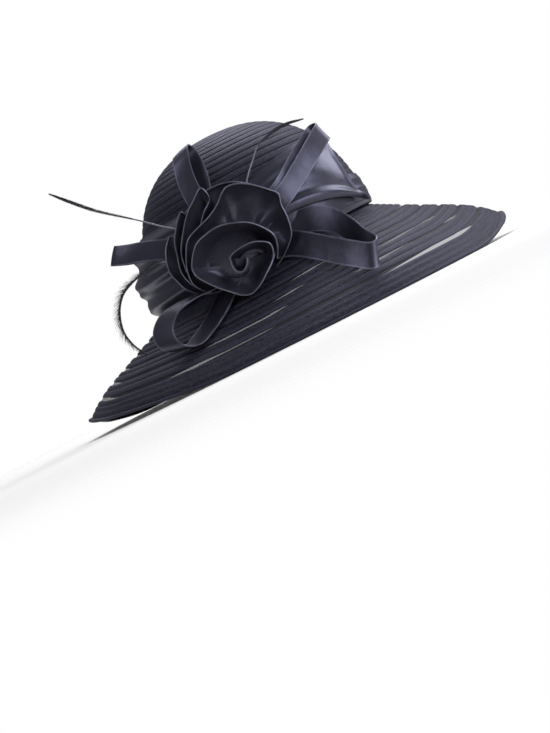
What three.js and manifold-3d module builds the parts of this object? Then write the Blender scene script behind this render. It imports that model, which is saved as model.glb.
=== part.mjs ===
// A dress sun hat of dark woven braid with a satin band, a satin rose, ribbon loops and feathers.
// Millimetres, Z up, standing on the rim of its brim. The front faces -Y, the wearer's right is -X.

import * as THREE from 'three';
import { mergeVertices } from 'three/addons/utils/BufferGeometryUtils.js';
import Module from 'manifold-3d';

const wasm = await Module();
wasm.setup();

// Head and crown
const CROWN_HALF_WIDTH = 96;
const CROWN_HALF_LENGTH = 112;
const CROWN_TOP = 197;
const CROWN_WALL = 2;
const CROWN_BANDS = 8;
const BAND_CROWDING = 1.05;
const BAND_RELIEF = 0.9;
const CROWN_SHOULDER = 2.3;
const CROWN_DOME = 2.4;
const SEAM_HEIGHT = 74;
const SEAM_TILT = 5;
const SEAM_HIGHEST_AT = 40;

// Brim: opaque braid bands joined by narrow see-through strips
const RIM_HALF_WIDTH = 202;
const RIM_HALF_LENGTH = 212;
const BRIM_WALL = 2.4;
const INNER_BAND = 25;
const OUTER_BAND = 16.5;
const HEM_WIDTH = 3.5;
const SHEER_STRIPS = 5;
const SHEER_WIDTH = 3.5;
const SHEER_RECESS = 1.1;
const BRIM_BULGE = 0.17;
const RIM_ROLL = 0.8;

// How far the rim lifts off the table, going round from the front towards the wearer's left
const RIM_WAVE = [
  { at: 0, lift: 0 },
  { at: 20, lift: 9 },
  { at: 40, lift: 18 },
  { at: 70, lift: 20 },
  { at: 100, lift: 15 },
  { at: 125, lift: 5 },
  { at: 140, lift: 0 },
  { at: 180, lift: 0 },
  { at: 200, lift: 6 },
  { at: 220, lift: 16 },
  { at: 250, lift: 10 },
  { at: 280, lift: 2 },
  { at: 290, lift: 0 },
];

// Satin band round the foot of the crown: its height above the seam, and how deep its folds are there
const SASH_WALL = 1.3;
const SASH_ROUND = [
  { at: 0, rise: 32, depth: 0.12 },
  { at: 40, rise: 28, depth: 0.15 },
  { at: 90, rise: 34, depth: 0.4 },
  { at: 140, rise: 44, depth: 0.6 },
  { at: 180, rise: 56, depth: 1 },
  { at: 220, rise: 72, depth: 1.35 },
  { at: 270, rise: 70, depth: 1.25 },
  { at: 300, rise: 60, depth: 0.85 },
  { at: 316, rise: 48, depth: 0.12 },
];
const SASH_FOLDS = [
  { at: 0, out: 0.6 },
  { at: 0.16, out: 6.5 },
  { at: 0.3, out: 5.5 },
  { at: 0.42, out: 8.5 },
  { at: 0.55, out: 9.5 },
  { at: 0.68, out: 4 },
  { at: 0.84, out: 7 },
  { at: 1, out: 0.6 },
];

// The trim faces this far round from the front, on the wearer's right
const TRIM_TURN = -50;
const RIBBON_WALL = 1.1;
const PETAL_WALL = 1.2;
const QUILL_WALL = 1.2;
const GAP = 0.3;
const SEAM_CLEAR = 6;

// Trim tables give places as across (to the right of someone who faces the rose), out (towards them)
// and up (above the table).

// Fan of satin from behind the rose to the right: a row for each fold from the lowest up, with its
// height behind the rose, halfway and at the far edge, the bearing of that edge, and how far the
// fold stands off the crown
const DRAPE_WALL = 1.2;
const DRAPE_FROM = -46;
const DRAPE_FOLDS = [
  { at: 0, rose: 98, middle: 96, edge: 80, bearing: 13, out: 4.5 },
  { at: 0.15, rose: 103, middle: 103, edge: 86, bearing: 9, out: 6.5 },
  { at: 0.3, rose: 108, middle: 111, edge: 93, bearing: 7, out: 3.5 },
  { at: 0.5, rose: 116, middle: 122, edge: 106, bearing: 6, out: 4 },
  { at: 0.75, rose: 127, middle: 136, edge: 127, bearing: 8.5, out: 3 },
  { at: 1, rose: 138, middle: 151, edge: 148, bearing: 22, out: 1.5 },
];

// Ribbon loops: a row for each bend, with the tilt of the ribbon's width from level
const LOOPS = {
  loop_top_left: {
    width: 17.5,
    rows: [
      { across: -27, out: 106, up: 110, tilt: 18 },
      { across: -30, out: 104, up: 136, tilt: 18 },
      { across: -31, out: 99, up: 160, tilt: 18 },
      { across: -27, out: 93, up: 181, tilt: 18 },
      { across: -24, out: 86, up: 188, tilt: 18 },
      { across: -20, out: 80, up: 181, tilt: 18 },
      { across: -20, out: 86, up: 160, tilt: 18 },
      { across: -25, out: 98, up: 136, tilt: 18 },
      { across: -25, out: 102, up: 110, tilt: 18 },
    ],
  },
  loop_left: {
    width: 17.5,
    rows: [
      { across: -42, out: 107, up: 104, tilt: 65 },
      { across: -84, out: 100, up: 123, tilt: 60 },
      { across: -106, out: 94, up: 130, tilt: 55 },
      { across: -116, out: 86, up: 134, tilt: 54 },
      { across: -106, out: 79, up: 130, tilt: 55 },
      { across: -84, out: 84, up: 123, tilt: 60 },
      { across: -42, out: 103, up: 106, tilt: 65 },
    ],
  },
  loop_upright: {
    width: 18,
    rows: [
      { across: -6, out: 109, up: 98, tilt: 92 },
      { across: 35, out: 111, up: 113, tilt: 95 },
      { across: 63, out: 97, up: 130, tilt: 101 },
      { across: 85, out: 81, up: 145, tilt: 106 },
      { across: 93, out: 71, up: 151, tilt: 107 },
      { across: 87, out: 65, up: 152, tilt: 107 },
      { across: 62, out: 85, up: 137, tilt: 101 },
      { across: 34, out: 104, up: 118, tilt: 95 },
      { across: -6, out: 104, up: 101, tilt: 92 },
    ],
  },
  loop_right: {
    width: 23,
    rows: [
      { across: -8, out: 108, up: 84, tilt: 65, turn: 30 },
      { across: 24, out: 119, up: 75, tilt: 65, turn: 30 },
      { across: 40, out: 136, up: 64, tilt: 65, turn: 30 },
      { across: 53, out: 152, up: 53, tilt: 65, turn: 30 },
      { across: 66, out: 166, up: 43, tilt: 65, turn: 30 },
      { across: 78, out: 173, up: 35, tilt: 65, turn: 30 },
      { across: 84, out: 170, up: 36, tilt: 65, turn: 30 },
      { across: 79, out: 153, up: 48, tilt: 65, turn: 30 },
      { across: 72, out: 127, up: 66, tilt: 65, turn: 30 },
      { across: 61, out: 111, up: 80, tilt: 65, turn: 30 },
      { across: 46, out: 104, up: 87, tilt: 65, turn: 30 },
      { across: 28, out: 103, up: 87, tilt: 65, turn: 30 },
      { across: -8, out: 101, up: 88, tilt: 65, turn: 30 },
    ],
  },
  loop_lower_left: {
    width: 25,
    rows: [
      { across: -32, out: 98, up: 78, tilt: 8, turn: 138 },
      { across: -55, out: 110, up: 71, tilt: 8, turn: 138 },
      { across: -76, out: 119, up: 71, tilt: 8, turn: 138 },
      { across: -93, out: 126, up: 67, tilt: 8, turn: 138 },
      { across: -103, out: 131, up: 57, tilt: 8, turn: 138 },
      { across: -104, out: 137, up: 46, tilt: 8, turn: 138 },
      { across: -98, out: 141, up: 38, tilt: 8, turn: 138 },
      { across: -87, out: 143, up: 35, tilt: 8, turn: 138 },
      { across: -72, out: 137, up: 41, tilt: 8, turn: 138 },
      { across: -53, out: 124, up: 53, tilt: 8, turn: 138 },
      { across: -32, out: 104, up: 72, tilt: 8, turn: 138 },
    ],
  },
};

// Rose: a pad with cupped petals round it. Each petal opens from a foot round its middle to its hem,
// which is given from end to end.
const ROSE_PAD = { across: -24, out: 102, up: 88, halfWidth: 40, halfDepth: 15, halfHeight: 32 };
const PETALS = {
  heart: {
    across: -19, up: 79, foot: 4, footOut: 114,
    hem: [
      { across: -26, out: 137, up: 86 },
      { across: -27, out: 136, up: 80 },
      { across: -26, out: 135, up: 74 },
      { across: -22, out: 134, up: 72 },
      { across: -17, out: 134, up: 75 },
      { across: -14, out: 134, up: 80 },
    ],
  },
  inner: {
    across: -8, up: 77, foot: 7, footOut: 114,
    hem: [
      { across: -26, out: 137, up: 86 },
      { across: -22, out: 138, up: 88 },
      { across: -16, out: 138, up: 89 },
      { across: -5, out: 138, up: 89 },
      { across: 3, out: 138, up: 86 },
      { across: 8, out: 138, up: 82 },
      { across: 8, out: 137, up: 76 },
      { across: 3, out: 135, up: 68 },
      { across: -4, out: 132, up: 62 },
    ],
  },
  cup: {
    across: -20, up: 84, foot: 18, footOut: 112,
    hem: [
      { across: -44, out: 133, up: 66 },
      { across: -51, out: 137, up: 75 },
      { across: -57, out: 139, up: 85 },
      { across: -58, out: 140, up: 91 },
      { across: -54, out: 140, up: 99 },
      { across: -46, out: 140, up: 108 },
      { across: -34, out: 140, up: 112 },
      { across: -23, out: 140, up: 113 },
      { across: -11, out: 140, up: 110 },
      { across: 0, out: 140, up: 105 },
      { across: 9, out: 140, up: 96 },
      { across: 14, out: 140, up: 87 },
      { across: 13, out: 138, up: 78 },
      { across: 8, out: 134, up: 68 },
    ],
  },
  lip: {
    across: -24, up: 80, foot: 12, footOut: 116,
    hem: [
      { across: -57, out: 136, up: 92 },
      { across: -58, out: 139, up: 86 },
      { across: -51, out: 141, up: 75 },
      { across: -43, out: 142, up: 66 },
      { across: -37, out: 142, up: 60 },
      { across: -30, out: 143, up: 54 },
      { across: -23, out: 143, up: 52 },
      { across: -13, out: 142, up: 56 },
      { across: -6, out: 140, up: 61 },
      { across: 3, out: 136, up: 68 },
      { across: 11, out: 131, up: 76 },
    ],
  },
  back: {
    across: -18, up: 88, foot: 26, footOut: 110,
    hem: [
      { across: -46, out: 114, up: 66 },
      { across: -55, out: 118, up: 69 },
      { across: -63, out: 122, up: 80 },
      { across: -63, out: 125, up: 91 },
      { across: -59, out: 127, up: 102 },
      { across: -51, out: 127, up: 115 },
      { across: -40, out: 127, up: 120 },
      { across: -28, out: 126, up: 124 },
      { across: -17, out: 126, up: 130 },
      { across: -9, out: 127, up: 137 },
      { across: -3, out: 128, up: 140 },
      { across: 5, out: 128, up: 139 },
      { across: 17, out: 128, up: 132 },
      { across: 28, out: 128, up: 122 },
      { across: 33, out: 128, up: 116 },
      { across: 31, out: 128, up: 107 },
      { across: 31, out: 128, up: 96 },
      { across: 28, out: 127, up: 82 },
      { across: 22, out: 124, up: 75 },
      { across: 13, out: 120, up: 68 },
      { across: 4, out: 116, up: 63 },
    ],
  },
  upperLeft: {
    across: -28, up: 92, foot: 24, footOut: 108,
    hem: [
      { across: -64, out: 116, up: 92 },
      { across: -61, out: 119, up: 108 },
      { across: -51, out: 121, up: 124 },
      { across: -41, out: 122, up: 136 },
      { across: -32, out: 122, up: 143 },
      { across: -24, out: 122, up: 149 },
      { across: -22, out: 122, up: 149 },
      { across: -20, out: 122, up: 138 },
      { across: -29, out: 121, up: 130 },
      { across: -36, out: 119, up: 122 },
    ],
  },
  left: {
    across: -28, up: 90, foot: 28, footOut: 108,
    hem: [
      { across: -42, out: 114, up: 132 },
      { across: -46, out: 117, up: 139 },
      { across: -50, out: 118, up: 136 },
      { across: -57, out: 118, up: 127 },
      { across: -62, out: 118, up: 119 },
      { across: -65, out: 118, up: 108 },
      { across: -68, out: 117, up: 93 },
      { across: -64, out: 115, up: 80 },
      { across: -54, out: 113, up: 70 },
    ],
  },
  outerLeft: {
    across: -30, up: 88, foot: 30, footOut: 106,
    hem: [
      { across: -64, out: 108, up: 126 },
      { across: -71, out: 111, up: 118 },
      { across: -75, out: 113, up: 109 },
      { across: -77, out: 113, up: 98 },
      { across: -75, out: 113, up: 90 },
      { across: -71, out: 113, up: 80 },
      { across: -62, out: 112, up: 71 },
      { across: -49, out: 111, up: 67 },
      { across: -36, out: 109, up: 66 },
    ],
  },
  behind: {
    across: -22, up: 90, foot: 30, footOut: 105,
    hem: [
      { across: -58, out: 108, up: 122 },
      { across: -48, out: 111, up: 134 },
      { across: -34, out: 113, up: 141 },
      { across: -18, out: 114, up: 146 },
      { across: 0, out: 114, up: 144 },
      { across: 14, out: 113, up: 136 },
      { across: 26, out: 112, up: 124 },
      { across: 34, out: 110, up: 110 },
    ],
  },
};

// Feathers: a row for each bend of the quill, with the width of the blade there
const FEATHERS = {
  feather_left: {
    tilt: 125,
    rows: [
      { across: -30, out: 107, up: 110, blade: 1.4 },
      { across: -65, out: 94, up: 136, blade: 1.4 },
      { across: -83, out: 82, up: 152, blade: 1.4 },
      { across: -114, out: 62, up: 178, blade: 2.4 },
      { across: -131, out: 50, up: 195.5, blade: 3.2 },
      { across: -145, out: 40, up: 211, blade: 1.3 },
    ],
  },
  feather_top: {
    tilt: 115,
    rows: [
      { across: -8, out: 109, up: 106, blade: 1.4 },
      { across: 17, out: 100, up: 142, blade: 1.4 },
      { across: 27, out: 92, up: 153, blade: 1.4 },
      { across: 37, out: 88, up: 163, blade: 2 },
      { across: 52, out: 83, up: 168, blade: 3.6 },
      { across: 66, out: 80, up: 169.5, blade: 3 },
      { across: 82, out: 78, up: 167, blade: 1.3 },
    ],
  },
  feather_curled: {
    tilt: 0,
    rows: [
      { across: -44, out: 111, up: 94, blade: 1.4 },
      { across: -81, out: 103, up: 110, blade: 1.6 },
      { across: -98, out: 95, up: 109, blade: 3 },
      { across: -112, out: 88, up: 106, blade: 5 },
      { across: -124, out: 83, up: 100, blade: 6 },
      { across: -133, out: 80, up: 88, blade: 7 },
      { across: -137, out: 80, up: 72, blade: 6 },
      { across: -134, out: 84, up: 58, blade: 4 },
      { across: -127, out: 89, up: 46, blade: 1.5 },
    ],
  },
};

// Fineness of the faceted solids
const CROWN_SEGMENTS = 48;
const BRIM_SEGMENTS = 54;
const UNDER_SHARES = [0, 0.25, 0.5, 0.72, 0.87];
const BELOW_SHARES = [0, 0.15, 0.3, 0.45, 0.6, 0.75, 0.88];
const SASH_SEGMENTS = 40;
const SASH_ROWS = 9;
const DRAPE_SPANS = [10, 9];
const LOOP_SPANS = 17;
const FEATHER_SPANS = 10;
const PETAL_STEP = 23;
const PETAL_SPANS_LEAST = 5;
const PETAL_ROWS = 3;
const PAD_SEGMENTS = [14, 8];

// Surface finish of each material
const BRAID = { color: 0x2b2b36, roughness: 0.6, metalness: 0 };
const SATIN = { color: 0x1f1f29, roughness: 0.35, metalness: 0 };
const FEATHER = { color: 0x17171d, roughness: 0.7, metalness: 0 };

const rad = THREE.MathUtils.degToRad;
const lerp = THREE.MathUtils.lerp;
const UP = new THREE.Vector3(0, 0, 1);

// Reads a column of a table as a smooth curve over its `at` column that never overshoots a row.
// With a period the curve closes on itself.
function column(rows, key, period) {
  const first = rows[0];
  const last = rows[rows.length - 1];
  const table = period
    ? [{ ...last, at: last.at - period }, ...rows, { ...first, at: first.at + period },
      { ...rows[1], at: rows[1].at + period }]
    : [first, ...rows, last];
  const slope = (a, b) => (b.at === a.at ? 0 : (b[key] - a[key]) / (b.at - a.at));
  const tangent = (k) => {
    const before = slope(table[k - 1] ?? table[k], table[k]);
    const after = slope(table[k], table[k + 1] ?? table[k]);
    return before * after > 0 ? (2 * before * after) / (before + after) : 0;
  };
  return (where) => {
    const at = period ? first.at + THREE.MathUtils.euclideanModulo(where - first.at, period) : where;
    let k = 1;
    while (k < table.length - 2 && table[k + 1].at <= at) {
      k += 1;
    }
    const [a, b] = [table[k], table[k + 1]];
    const span = b.at - a.at;
    if (span === 0) {
      return a[key];
    }
    const t = THREE.MathUtils.clamp((at - a.at) / span, 0, 1);
    const bend = t * (1 - t) * ((1 - t) * tangent(k) - t * tangent(k + 1)) * span;
    return lerp(a[key], b[key], t * t * (3 - 2 * t)) + bend;
  };
}

// A closed wall between two grids of points, front[i][j] and back[i][j]. A wrapped wall closes on
// itself along i, and then the two grids may differ in how many points they have along j.
function wall(front, back, wrap = false) {
  const positions = [];
  const triangle = (a, b, c) => positions.push(...a.toArray(), ...b.toArray(), ...c.toArray());
  const quad = (a, b, c, d) => {
    triangle(a, b, c);
    triangle(a, c, d);
  };
  const count = front.length;
  const spans = wrap ? count : count - 1;
  const [frontEnd, backEnd] = [front[0].length - 1, back[0].length - 1];
  for (let i = 0; i < spans; i += 1) {
    const next = (i + 1) % count;
    for (let j = 0; j < frontEnd; j += 1) {
      quad(front[i][j], front[next][j], front[next][j + 1], front[i][j + 1]);
    }
    for (let j = 0; j < backEnd; j += 1) {
      quad(back[i][j], back[i][j + 1], back[next][j + 1], back[next][j]);
    }
    quad(front[i][0], back[i][0], back[next][0], front[next][0]);
    quad(front[i][frontEnd], front[next][frontEnd], back[next][backEnd], back[i][backEnd]);
  }
  if (!wrap) {
    for (let j = 0; j < frontEnd; j += 1) {
      quad(front[0][j], front[0][j + 1], back[0][j + 1], back[0][j]);
      quad(front[count - 1][j], back[count - 1][j], back[count - 1][j + 1], front[count - 1][j + 1]);
    }
  }
  const geometry = new THREE.BufferGeometry();
  geometry.setAttribute('position', new THREE.Float32BufferAttribute(positions, 3));
  return geometry;
}

// The same grid moved along its own normals, by a distance or by one for each point
function offset(grid, distance) {
  return grid.map((row, i) => row.map((point, j) => {
    const along = grid[Math.min(i + 1, grid.length - 1)][j].clone().sub(grid[Math.max(i - 1, 0)][j]);
    const across = row[Math.min(j + 1, row.length - 1)].clone().sub(row[Math.max(j - 1, 0)]);
    return point.clone().addScaledVector(along.cross(across).normalize(), distance);
  }));
}

// A grid of points, each made from its two places from 0 to 1
function gridOf(spansI, spansJ, point) {
  return Array.from({ length: spansI + 1 }, (_, i) => (
    Array.from({ length: spansJ + 1 }, (__, j) => point(i / spansI, j / spansJ))));
}

// A row of points for each of so many bearings all the way round
function ringsOf(count, ring) {
  return Array.from({ length: count }, (_, i) => ring((i * 360) / count));
}

function solidOf(geometry) {
  const merged = mergeVertices(geometry, 1e-4);
  const { array } = merged.index;
  const triangles = [];
  for (let k = 0; k < array.length; k += 3) {
    const [a, b, c] = [array[k], array[k + 1], array[k + 2]];
    if (a !== b && b !== c && c !== a) {
      triangles.push(a, b, c);
    }
  }
  return new wasm.Manifold(new wasm.Mesh({
    numProp: 3,
    vertProperties: new Float32Array(merged.getAttribute('position').array),
    triVerts: new Uint32Array(triangles),
  }));
}

function geometryOf(solid) {
  const mesh = solid.getMesh();
  const geometry = new THREE.BufferGeometry();
  geometry.setAttribute('position', new THREE.Float32BufferAttribute(mesh.vertProperties, 3));
  geometry.setIndex(new THREE.Uint32BufferAttribute(mesh.triVerts, 1));
  geometry.computeVertexNormals();
  return geometry;
}

// Cuts a piece clear of its neighbours and keeps the largest body that is left
function cutClear(solid, neighbours) {
  const cut = neighbours.reduce((rest, neighbour) => rest.subtract(neighbour), solid);
  return cut.decompose().sort((a, b) => b.volume() - a.volume())[0];
}

// Crown
const rimLift = column(RIM_WAVE, 'lift', 360);
const seamAt = (bearing) => SEAM_HEIGHT + SEAM_TILT * Math.cos(rad(bearing - SEAM_HIGHEST_AT));

function polar(bearing, halfWidth, halfLength, height) {
  return new THREE.Vector3(
    Math.sin(rad(bearing)) * halfWidth, -Math.cos(rad(bearing)) * halfLength, height);
}

// A point on the crown's smooth form, from the seam (0) to the top (1), moved out by a distance
function crownPoint(bearing, rise, out) {
  const round = (1 - rise ** CROWN_SHOULDER) ** (1 / CROWN_DOME);
  const up = rise ** 6;
  const sideways = out * (1 - up);
  return polar(
    bearing,
    CROWN_HALF_WIDTH * round + sideways,
    CROWN_HALF_LENGTH * round + sideways,
    lerp(seamAt(bearing), CROWN_TOP, rise) + out * up,
  );
}

function poleAt(height) {
  return new THREE.Vector3(0, 0, height);
}

// Band edges lie closer together in height where the dome turns level
const crownRise = (share) => Math.sin(share * Math.PI / 2) ** BAND_CROWDING;

function crownSolid() {
  const outer = (bearing) => {
    const ring = [];
    for (let band = 0; band < CROWN_BANDS; band += 1) {
      const [low, high] = [band, band + 1].map((edge) => crownRise(edge / CROWN_BANDS));
      ring.push(crownPoint(bearing, low, 0));
      ring.push(high < 1 ? crownPoint(bearing, high, -BAND_RELIEF) : poleAt(CROWN_TOP - BAND_RELIEF));
    }
    return ring;
  };
  const inner = (bearing) => {
    const ring = Array.from({ length: CROWN_BANDS }, (_, k) => (
      crownPoint(bearing, crownRise(k / CROWN_BANDS), -BAND_RELIEF - CROWN_WALL)));
    return [...ring, poleAt(CROWN_TOP - BAND_RELIEF - CROWN_WALL)];
  };
  return solidOf(wall(ringsOf(CROWN_SEGMENTS, outer), ringsOf(CROWN_SEGMENTS, inner), true));
}

// Brim
const BRIM_WIDTH = (RIM_HALF_WIDTH + RIM_HALF_LENGTH - CROWN_HALF_WIDTH - CROWN_HALF_LENGTH) / 2;
const HEM_START = 1 - HEM_WIDTH / BRIM_WIDTH;

// A point on the underside of the brim, raised by a distance. Its share of the way to the rim runs
// from 0 at the crown to 1, and the hem at the end of it is level, so that the hat rests flat on it.
function brimPoint(bearing, share, raise) {
  const inset = BAND_RELIEF + CROWN_WALL;
  const s = Math.min(share / HEM_START, 1);
  const fall = (1 - s) * (1 + BRIM_BULGE * s + RIM_ROLL * s ** 4);
  const lift = rimLift(bearing);
  return polar(
    bearing,
    lerp(CROWN_HALF_WIDTH - inset, RIM_HALF_WIDTH, share),
    lerp(CROWN_HALF_LENGTH - inset, RIM_HALF_LENGTH, share),
    lerp(lift, seamAt(bearing) - GAP - BRIM_WALL, fall) + raise,
  );
}

// The bands and strips of the brim, each with its two edges as shares of the brim's width
function brimCourses() {
  const middle = BRIM_WIDTH - INNER_BAND - OUTER_BAND;
  const pitch = (middle - SHEER_WIDTH) / (SHEER_STRIPS - 1);
  const courses = [{ sheer: false, from: 0, to: INNER_BAND }];
  for (let k = 0; k < SHEER_STRIPS; k += 1) {
    const start = INNER_BAND + k * pitch;
    courses.push({ sheer: true, from: start, to: start + SHEER_WIDTH });
    courses.push({ sheer: false, from: start + SHEER_WIDTH, to: start + pitch });
  }
  courses[courses.length - 1].to = BRIM_WIDTH - HEM_WIDTH;
  return courses.map(({ sheer, from, to }) => (
    { sheer, from: from / BRIM_WIDTH, to: to / BRIM_WIDTH }));
}

function brimSolid() {
  const courses = brimCourses();
  const top = (bearing) => [...courses.flatMap(({ sheer, from, to }) => {
    const raise = sheer ? BRIM_WALL - SHEER_RECESS : BRIM_WALL;
    return [brimPoint(bearing, from, raise), brimPoint(bearing, to, raise)];
  }), brimPoint(bearing, 1, BRIM_WALL)];
  const under = (bearing) => [...UNDER_SHARES, HEM_START, 1].map((share) => (
    brimPoint(bearing, share, 0)));
  const [topRings, underRings] = [top, under].map((ring) => (
    ringsOf(BRIM_SEGMENTS, ring).map((points) => points.reverse())));
  return solidOf(wall(topRings, underRings, true));
}

// Sash
const sashRise = column(SASH_ROUND, 'rise', 360);
const sashDepth = column(SASH_ROUND, 'depth', 360);
const sashFold = column(SASH_FOLDS, 'out');

// A point that stands off the crown at a height above the table
function offCrown(bearing, height, out) {
  const base = seamAt(bearing);
  return crownPoint(bearing, (height - base) / (CROWN_TOP - base), out);
}

function sashRings(out) {
  return ringsOf(SASH_SEGMENTS, (bearing) => Array.from({ length: SASH_ROWS + 1 }, (_, k) => {
    const share = k / SASH_ROWS;
    const height = seamAt(bearing) + GAP + sashRise(bearing) * share;
    return offCrown(bearing, height, GAP + sashFold(share) * sashDepth(bearing) + out);
  }));
}

function sashSolid() {
  return solidOf(wall(sashRings(SASH_WALL), sashRings(0), true));
}

// Drape
const [drapeRose, drapeMiddle, drapeEdge, drapeTo, drapeOut] = (
  ['rose', 'middle', 'edge', 'bearing', 'out'].map((key) => column(DRAPE_FOLDS, key)));

// A curve through three values at 0, a half and 1
const through = (first, middle, last, at) => (
  first * (1 - at) * (1 - 2 * at) + middle * 4 * at * (1 - at) + last * at * (2 * at - 1));

// The drape's line, made larger all round by grow
function drapeGrid(grow) {
  return gridOf(...DRAPE_SPANS, (along, share) => {
    const bearing = lerp(DRAPE_FROM - grow / 2, drapeTo(share) + grow / 2, along);
    const height = through(drapeRose(share), drapeMiddle(share), drapeEdge(share), along);
    return offCrown(bearing, height + grow * (2 * share - 1), drapeOut(share));
  });
}

function drapeSolid(grow = 0, depth = 0) {
  const grid = drapeGrid(grow);
  return solidOf(wall(offset(grid, DRAPE_WALL + grow), offset(grid, -depth)));
}

// Ribbons and feathers: a strip swept along a table of bends
function stripSolid(rows, { width, thickness, spans, grow = 0 }) {
  const curve = new THREE.CatmullRomCurve3(
    rows.map(({ across, out, up }) => new THREE.Vector3(across, -out, up)), false, 'centripetal');
  const table = rows.map((row, at) => ({ turn: 0, ...row, at }));
  const [tilt, turn] = [column(table, 'tilt'), column(table, 'turn')];
  const grid = gridOf(spans, 1, (along, share) => {
    const at = along * (rows.length - 1);
    const [lean, swing] = [rad(tilt(at)), rad(turn(at))];
    const side = new THREE.Vector3(
      Math.cos(lean) * Math.cos(swing), Math.cos(lean) * Math.sin(swing), Math.sin(lean));
    return curve.getPoint(along).addScaledVector(side, (share - 0.5) * (width(at) + 2 * grow));
  });
  return solidOf(wall(offset(grid, thickness / 2 + grow), offset(grid, -thickness / 2 - grow)));
}

const loopSolid = (name, grow) => stripSolid(LOOPS[name].rows, {
  width: () => LOOPS[name].width, thickness: RIBBON_WALL, spans: LOOP_SPANS, grow,
});

const featherSolid = (name, grow) => {
  const rows = FEATHERS[name].rows.map((row, at) => ({ ...row, at, tilt: FEATHERS[name].tilt }));
  return stripSolid(rows, {
    width: column(rows, 'blade'), thickness: QUILL_WALL, spans: FEATHER_SPANS, grow,
  });
};

// Rose
function petalSolid({ across, up, foot, footOut, hem }) {
  const place = (row) => new THREE.Vector3(row.across, -row.out, row.up);
  const curve = new THREE.CatmullRomCurve3(hem.map(place), false, 'centripetal');
  const spans = Math.max(PETAL_SPANS_LEAST, Math.ceil(curve.getLength() / PETAL_STEP));
  const grid = gridOf(spans, PETAL_ROWS, (along, share) => {
    const rim = curve.getPoint(along);
    const away = new THREE.Vector3(rim.x - across, 0, rim.z - up).normalize();
    const start = place({ across, out: footOut, up }).addScaledVector(away, foot);
    const bowl = share * Math.PI / 2;
    const open = Math.sin(bowl);
    return new THREE.Vector3(
      lerp(start.x, rim.x, open), lerp(start.y, rim.y, 1 - Math.cos(bowl)), lerp(start.z, rim.z, open));
  });
  return solidOf(wall(offset(grid, PETAL_WALL / 2), offset(grid, -PETAL_WALL / 2)));
}

function padSolid(grow = 0) {
  const geometry = new THREE.SphereGeometry(1, ...PAD_SEGMENTS);
  geometry.scale(ROSE_PAD.halfWidth + grow, ROSE_PAD.halfDepth + grow, ROSE_PAD.halfHeight + grow);
  geometry.translate(ROSE_PAD.across, -ROSE_PAD.out, ROSE_PAD.up);
  geometry.deleteAttribute('normal');
  geometry.deleteAttribute('uv');
  return solidOf(geometry);
}

// Space that the trim keeps clear of: everything behind a face, down to the axis or the table
const DRAPE_DEPTH = 3.6;
const CLEAR_DEPTH = 30;
const toAxis = (rings) => rings.map((ring) => ring.map(({ z }) => poleAt(z)));
const straightDown = (rings) => rings.map((ring) => (
  ring.map(({ x, y }) => new THREE.Vector3(x, y, -CLEAR_DEPTH))));

function behindCrown() {
  const rings = ringsOf(CROWN_SEGMENTS, (bearing) => {
    const ring = Array.from({ length: CROWN_BANDS * 2 }, (_, k) => (
      crownPoint(bearing, crownRise(k / CROWN_BANDS / 2), GAP)));
    const foot = ring[0].clone().addScaledVector(UP, -SEAM_CLEAR);
    return [foot, ...ring, poleAt(CROWN_TOP + GAP)];
  });
  return solidOf(wall(rings, toAxis(rings), true));
}

function behindSash() {
  const rings = sashRings(SASH_WALL + GAP).map((ring) => [
    ring[0].clone().addScaledVector(UP, -SEAM_CLEAR), ...ring,
    ring[ring.length - 1].clone().addScaledVector(UP, GAP)]);
  return solidOf(wall(rings, toAxis(rings), true));
}

function belowBrim() {
  const rings = ringsOf(BRIM_SEGMENTS, (bearing) => (
    [...BELOW_SHARES, HEM_START, 1].map((share) => brimPoint(bearing, share, BRIM_WALL + GAP))
      .reverse()));
  return solidOf(wall(rings, straightDown(rings), true));
}

// Assembly. The crown, brim, sash and drape are built in the hat's frame, the rest in the trim's.
const carriers = [behindCrown(), behindSash(), belowBrim(), drapeSolid(GAP, DRAPE_DEPTH)]
  .map((solid) => solid.rotate([0, 0, -TRIM_TURN]));
const padRoom = padSolid(GAP);

const trim = {};
const room = [];
for (const [names, make] of [[Object.keys(LOOPS), loopSolid], [Object.keys(FEATHERS), featherSolid]]) {
  for (const name of names) {
    trim[name] = cutClear(make(name, 0), [...carriers, padRoom, ...room]);
    room.push(make(name, GAP));
  }
}
const petals = Object.values(PETALS).map(petalSolid).reduce((sum, petal) => sum.add(petal));
const petalsClear = room.reduce((rest, solid) => rest.subtract(solid), petals);
trim.rose = cutClear(petalsClear.add(padSolid()), carriers);
const drape = cutClear(drapeSolid(), [behindSash(), behindCrown(), belowBrim()]);

function piece(name, solid, finish) {
  const mesh = new THREE.Mesh(geometryOf(solid), new THREE.MeshStandardMaterial(finish));
  mesh.name = name;
  return mesh;
}

const hat = new THREE.Group();
hat.add(piece('crown', crownSolid(), BRAID));
hat.add(piece('brim', brimSolid(), BRAID));
hat.add(piece('sash', sashSolid(), SATIN));
hat.add(piece('drape', drape, SATIN));

const trimGroup = new THREE.Group();
trimGroup.rotation.z = rad(TRIM_TURN);
for (const [name, solid] of Object.entries(trim)) {
  trimGroup.add(piece(name, solid, name.startsWith('feather') ? FEATHER : SATIN));
}
hat.add(trimGroup);
hat.updateMatrixWorld(true);

export default hat;
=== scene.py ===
"""A dress sun hat of dark woven braid, with a satin sash, a satin rose, ribbon loops and feathers.

Metres, Z up, resting on the rim of its brim. The front faces -Y and the wearer's right is -X. Sizes in
tables are in millimetres and bearings in degrees, from the front round towards the wearer's left.
"""

import math
import bpy
import numpy as np
from mathutils import Matrix, Vector


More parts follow.
